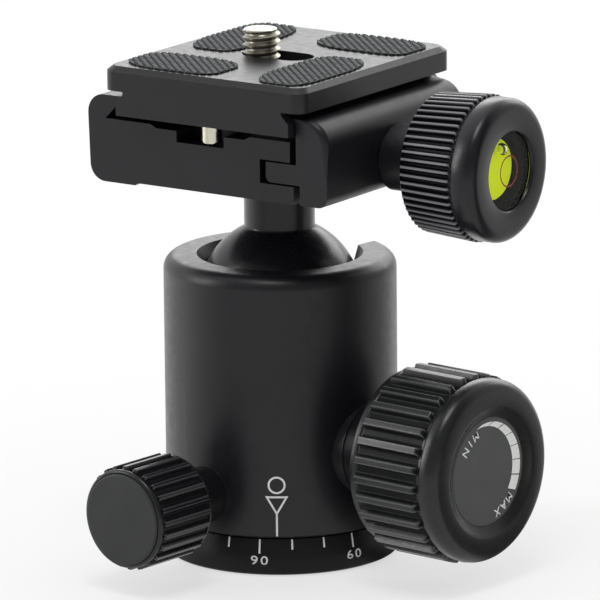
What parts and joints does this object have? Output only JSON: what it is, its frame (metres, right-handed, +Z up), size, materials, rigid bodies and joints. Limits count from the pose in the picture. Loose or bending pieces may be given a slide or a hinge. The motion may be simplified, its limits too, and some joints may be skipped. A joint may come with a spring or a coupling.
{
  "type": "tripod ball head",
  "caption": "Compact ball head with a panning dial base, notched housing, lock knobs, and a dovetail clamp with a quick-release plate, camera screw and round level.",
  "frame": {"origin": "centre of the base's underside, on the pan axis, at the mouth of the tripod thread", "axes": "+Z up along the pan axis; +X along the main lock knob's axis, out of the knob; the pan lock knob faces -Y and the drop notch faces +Y"},
  "size_m": [0.0731, 0.0652, 0.0889],
  "materials": {
    "black_anodised": "fine satin black anodised",
    "ball_finish": "smooth dark satin anodised",
    "plate_finish": "satin charcoal anodised",
    "core_metal": "bare turned",
    "steel": "bright zinc",
    "dark_steel": "blackened",
    "bronze": "plain turned",
    "nylon": "slippery white",
    "black_nylon": "slippery black",
    "knob_rubber": "matte black rubber over a hard core",
    "pan_knob_plastic": "matte black",
    "dial_plastic": "dark grey",
    "clamp_knob_metal": "satin black anodised, ribbed",
    "pad_rubber": "fine pimpled dark grey",
    "pin_metal": "champagne",
    "screw_metal": "nickel",
    "level_green": "bright yellow green",
    "level_liquid": "clear yellow green liquid",
    "air": "air",
    "window": "clear",
    "red_print": "dark red print"
  },
  "bodies": {
    "base": {"pan_base": "black_anodised", "tripod_bushing": "steel", "pan_washer": "black_nylon", "snap_ring": "dark_steel"},
    "housing_group": {"housing": "black_anodised", "core_block": "core_metal", "upper_race": "nylon", "main_bushing": "black_anodised", "pan_bushing": "black_anodised"},
    "cup": {"pressure_cup": "bronze"},
    "pusher": {"wedge_pusher": "steel"},
    "main_knob_group": {"main_knob": "knob_rubber", "main_screw": "steel", "main_knob_screw": "steel", "main_dial": "dial_plastic"},
    "shoe": {"pan_shoe": "bronze"},
    "pan_knob_group": {"pan_knob": "pan_knob_plastic", "pan_screw": "steel", "pan_knob_screw": "steel", "pan_cap": "dial_plastic"},
    "liner": {"ball_liner": "nylon"},
    "ball_group": {"ball": "ball_finish"},
    "clamp": {"clamp_body": "black_anodised", "platform_screw": "dark_steel"},
    "jaw": {"moving_jaw": "black_anodised", "guide_pins": "steel", "clamp_collar": "black_anodised"},
    "clamp_knob_group": {"clamp_knob": "clamp_knob_metal", "clamp_screw": "steel", "screw_clip": "dark_steel", "level_cup": "level_green", "level_fluid": "level_liquid", "level_bubble": "air", "level_window": "window", "level_ring": "red_print"},
    "plate": {"quick_plate": "plate_finish", "grip_pads": "pad_rubber", "stop_pins": "pin_metal"},
    "screw_slider": {"screw_washer": "nylon"},
    "camera_screw_group": {"camera_screw": "screw_metal"}
  },
  "joints": [
    {"name": "pan", "type": "hinge", "parent": "base", "child": "housing_group", "pos_m": [0, 0, 0.0064], "axis": [0, 0, 1], "continuous": true},
    {"name": "main_lock", "type": "hinge", "parent": "housing_group", "child": "main_knob_group", "pos_m": [0, 0, 0.02], "axis": [1, 0, 0], "range_deg": [0, 324]},
    {"name": "wedge_travel", "type": "slide", "parent": "housing_group", "child": "pusher", "axis": [1, 0, 0], "range_m": [0, 0.0009]},
    {"name": "cup_travel", "type": "slide", "parent": "housing_group", "child": "cup", "axis": [0, 0, -1], "range_m": [0, 0.0003]},
    {"name": "pan_lock", "type": "hinge", "parent": "housing_group", "child": "pan_knob_group", "pos_m": [0, 0, 0.013], "axis": [0, -1, 0], "range_deg": [0, 252]},
    {"name": "shoe_travel", "type": "slide", "parent": "housing_group", "child": "shoe", "axis": [0, -1, 0], "range_m": [0, 0.00035]},
    {"name": "side_tilt", "type": "hinge", "parent": "housing_group", "child": "liner", "pos_m": [0, 0, 0.043], "axis": [0, 1, 0], "range_deg": [-28, 28]},
    {"name": "drop_tilt", "type": "hinge", "parent": "liner", "child": "ball_group", "pos_m": [0, 0, 0.043], "axis": [-1, 0, 0], "range_deg": [-20, 90]},
    {"name": "ball_twist", "type": "hinge", "parent": "ball_group", "child": "clamp", "pos_m": [0, 0, 0.0649], "axis": [0, 0, 1], "continuous": true},
    {"name": "jaw_travel", "type": "slide", "parent": "clamp", "child": "jaw", "axis": [0.9945, 0.1045, 0], "range_m": [0, 0.0035]},
    {"name": "clamp_lock", "type": "hinge", "parent": "jaw", "child": "clamp_knob_group", "pos_m": [0, 0, 0.07], "axis": [0.9945, 0.1045, 0], "range_deg": [0, 1008]},
    {"name": "plate_slide", "type": "slide", "parent": "clamp", "child": "plate", "axis": [-0.1045, 0.9945, 0], "range_m": [-0.002, 0.002]},
    {"name": "screw_slide", "type": "slide", "parent": "plate", "child": "screw_slider", "axis": [0.9945, 0.1045, 0], "range_m": [0, 0.0066]},
    {"name": "camera_screw_turn", "type": "hinge", "parent": "screw_slider", "child": "camera_screw_group", "pos_m": [-0.00328, -0.00034, 0.0805], "axis": [0, 0, 1], "continuous": true}
  ],
  "couplings": [
    {"joint": "main_lock", "follows": "wedge_travel", "rad_per_m": 6283.2},
    {"joint": "cup_travel", "follows": "wedge_travel", "ratio": 0.33333},
    {"joint": "pan_lock", "follows": "shoe_travel", "rad_per_m": 12566},
    {"joint": "clamp_lock", "follows": "jaw_travel", "rad_per_m": 5026.5}
  ]
}
